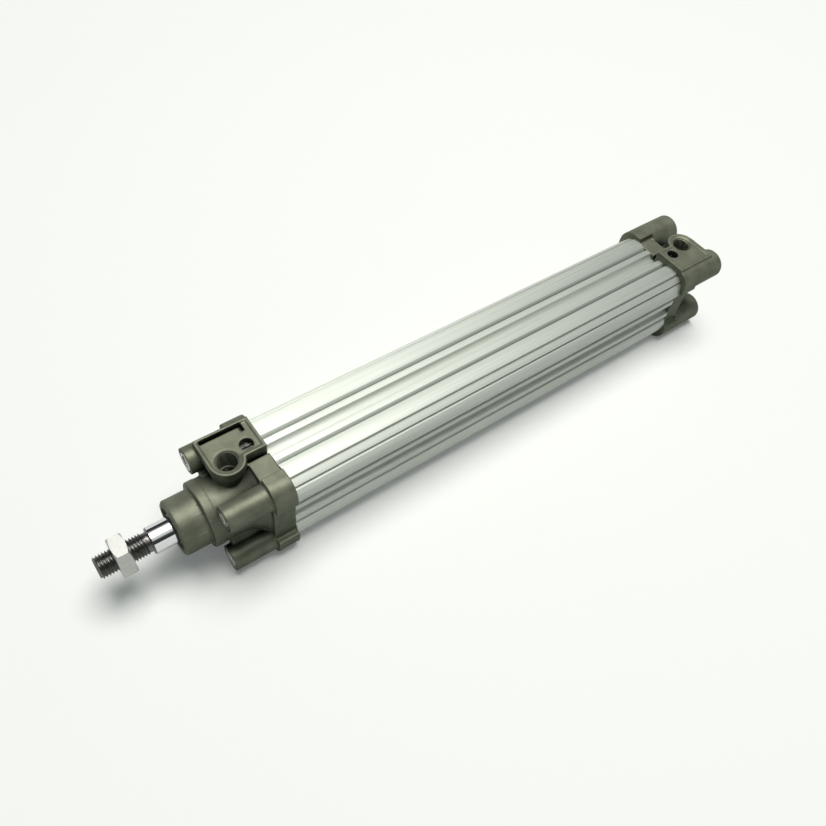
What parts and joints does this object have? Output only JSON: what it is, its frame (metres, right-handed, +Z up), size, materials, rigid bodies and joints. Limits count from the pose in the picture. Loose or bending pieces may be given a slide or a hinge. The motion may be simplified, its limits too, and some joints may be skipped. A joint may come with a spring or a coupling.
{
  "type": "tie rod cylinder",
  "caption": "Double-acting pneumatic cylinder with a grooved profile barrel on hidden tie rods, cast end caps with ports and a threaded piston rod with lock nut.",
  "frame": {"origin": "on the cylinder's axis, in the plane of the front mounting face (the ends of the four front pillars)", "axes": "+X along the axis towards the rod's end, +Z up towards the air ports, +Y to the side that the picture shows"},
  "size_m": [0.342, 0.048, 0.049],
  "materials": {
    "anodised_barrel": "clear anodised extrusion, satin",
    "cast_caps": "die-cast, coated dark bronze grey, matte",
    "zinc_steel": "zinc plated",
    "zinc_nut": "bright zinc plated",
    "chromed_rod": "hard chromed, polished",
    "bearing_bronze": "sintered bronze",
    "needle_steel": "blackened steel",
    "seal_rubber": "moulded polyurethane and nitrile rubber",
    "piston_aluminium": "turned",
    "magnet_compound": "plastic-bonded ferrite",
    "guide_plastic": "plain"
  },
  "bodies": {
    "cylinder_body": {"barrel": "anodised_barrel", "front_cap": "cast_caps", "rear_cap": "cast_caps", "tie_rods": "zinc_steel", "front_tie_rod_nuts": "zinc_steel", "rear_tie_rod_nuts": "zinc_steel", "rod_bearing": "bearing_bronze", "rod_wiper_seal": "seal_rubber", "front_cushion_seal": "seal_rubber", "rear_cushion_seal": "seal_rubber", "front_barrel_o_ring": "seal_rubber", "rear_barrel_o_ring": "seal_rubber"},
    "piston_rings": {"front_piston_seal": "seal_rubber", "rear_piston_seal": "seal_rubber", "piston_guide_ring": "guide_plastic"},
    "rod_and_piston": {"piston_rod": "chromed_rod", "piston_front_half": "piston_aluminium", "piston_rear_half": "piston_aluminium", "piston_magnet": "magnet_compound", "piston_rod_o_ring": "seal_rubber", "front_cushion_sleeve": "piston_aluminium", "rear_cushion_sleeve": "piston_aluminium", "piston_nut": "zinc_steel"},
    "rod_lock_nut": {"lock_nut": "zinc_nut"},
    "front_needle_ring": {"front_needle_o_ring": "seal_rubber"},
    "front_needle": {"front_cushion_needle": "needle_steel"},
    "rear_needle_ring": {"rear_needle_o_ring": "seal_rubber"},
    "rear_needle": {"rear_cushion_needle": "needle_steel"}
  },
  "joints": [
    {"name": "rod_slide", "type": "slide", "parent": "cylinder_body", "child": "piston_rings", "axis": [1, 0, 0], "range_m": [0, 0.2]},
    {"name": "rod_turn", "type": "hinge", "parent": "piston_rings", "child": "rod_and_piston", "pos_m": [0, 0, 0], "axis": [1, 0, 0], "continuous": true},
    {"name": "lock_nut_travel", "type": "slide", "parent": "rod_and_piston", "child": "rod_lock_nut", "axis": [1, 0, 0], "range_m": [-0.005, 0.00625]},
    {"name": "front_needle_rise", "type": "slide", "parent": "cylinder_body", "child": "front_needle_ring", "axis": [0, 0, 1], "range_m": [-0.0005, 0.001]},
    {"name": "front_needle_turn", "type": "hinge", "parent": "front_needle_ring", "child": "front_needle", "pos_m": [-0.0229, -0.0057, 0.02], "axis": [0, 0, 1], "range_deg": [-360.1, 720.1]},
    {"name": "rear_needle_rise", "type": "slide", "parent": "cylinder_body", "child": "rear_needle_ring", "axis": [0, 0, 1], "range_m": [-0.0005, 0.001]},
    {"name": "rear_needle_turn", "type": "hinge", "parent": "rear_needle_ring", "child": "rear_needle", "pos_m": [-0.2711, 0.0057, 0.02], "axis": [0, 0, 1], "range_deg": [-360.1, 720.1]}
  ],
  "couplings": [
    {"joint": "front_needle_turn", "follows": "front_needle_rise", "rad_per_m": 12566},
    {"joint": "rear_needle_turn", "follows": "rear_needle_rise", "rad_per_m": 12566}
  ]
}
